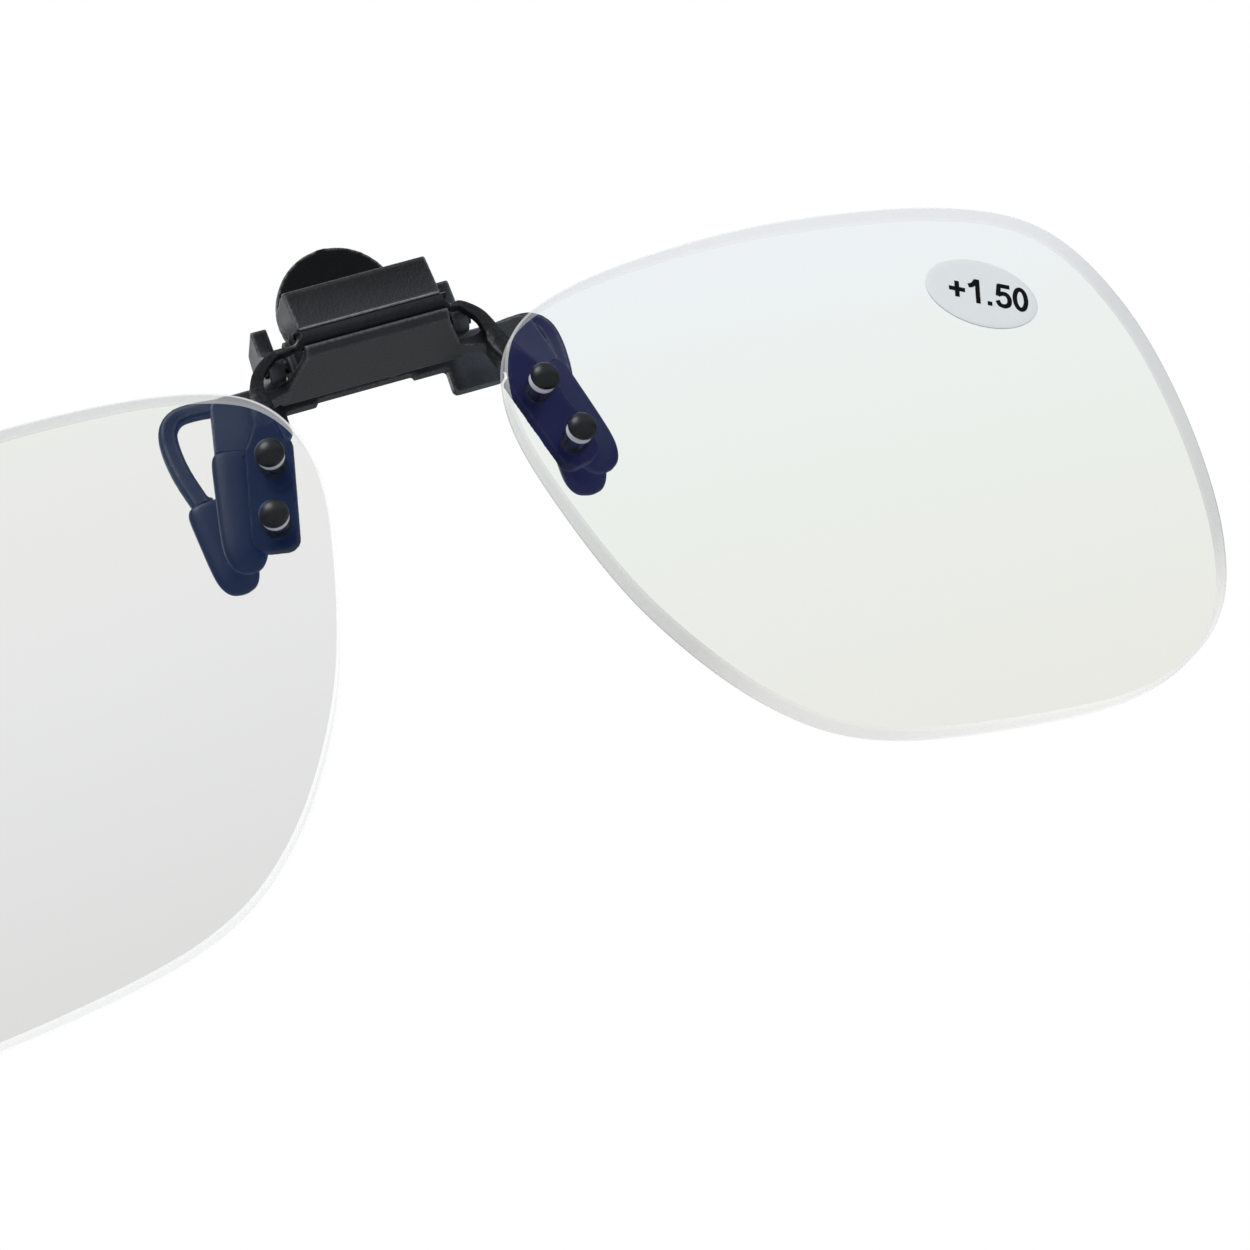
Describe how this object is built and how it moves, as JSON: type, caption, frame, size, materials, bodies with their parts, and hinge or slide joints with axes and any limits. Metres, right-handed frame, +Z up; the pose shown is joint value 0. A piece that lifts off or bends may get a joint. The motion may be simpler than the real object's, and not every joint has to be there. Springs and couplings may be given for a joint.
{
  "type": "clip-on reading glasses",
  "caption": "Rimless clip-on reading lenses that flip up on a sprung clip with rubber-tipped jaws for another pair of spectacles.",
  "frame": {"origin": "mid plane of the glasses, on the faces of the front sleeves that grip, at the height of the sleeves' middle", "axes": "+X from the left lens to the right lens as seen from the front, +Y back towards the wearer's face, +Z up"},
  "size_m": [0.135, 0.015, 0.0592],
  "materials": {
    "clip_plastic": "satin black moulded plastic",
    "rubber": "soft satin black",
    "steel": "bright drawn wire and pin",
    "pin_plastic": "glossy black",
    "clear_plastic": "clear",
    "lens": "polished clear resin with a faint coating",
    "sticker": "smooth pale grey film"
  },
  "bodies": {
    "clip": {"front_jaw": "clip_plastic", "front_sleeve_left": "rubber", "front_sleeve_right": "rubber", "jaw_pin": "steel", "jaw_spring": "steel", "detent_leaf": "steel"},
    "rear": {"rear_jaw": "clip_plastic", "rear_sleeve_left": "rubber", "rear_sleeve_right": "rubber"},
    "lenses": {"lens_carrier": "clip_plastic", "lens_left": "lens", "lens_right": "lens", "upper_pin_left": "pin_plastic", "upper_pin_right": "pin_plastic", "lower_pin_left": "pin_plastic", "lower_pin_right": "pin_plastic", "upper_bush_left": "clear_plastic", "upper_bush_right": "clear_plastic", "lower_bush_left": "clear_plastic", "lower_bush_right": "clear_plastic", "power_sticker": "sticker"}
  },
  "joints": [
    {"name": "jaw_pinch", "type": "hinge", "parent": "clip", "child": "rear", "pos_m": [0, -0.002, 0.0122], "axis": [1, 0, 0], "range_deg": [-17, 22], "stiffness_Nm_per_rad": 0.02},
    {"name": "flip_up", "type": "hinge", "parent": "clip", "child": "lenses", "pos_m": [0, -0.00695, 0.0117], "axis": [-1, 0, 0], "range_deg": [0, 95]}
  ]
}
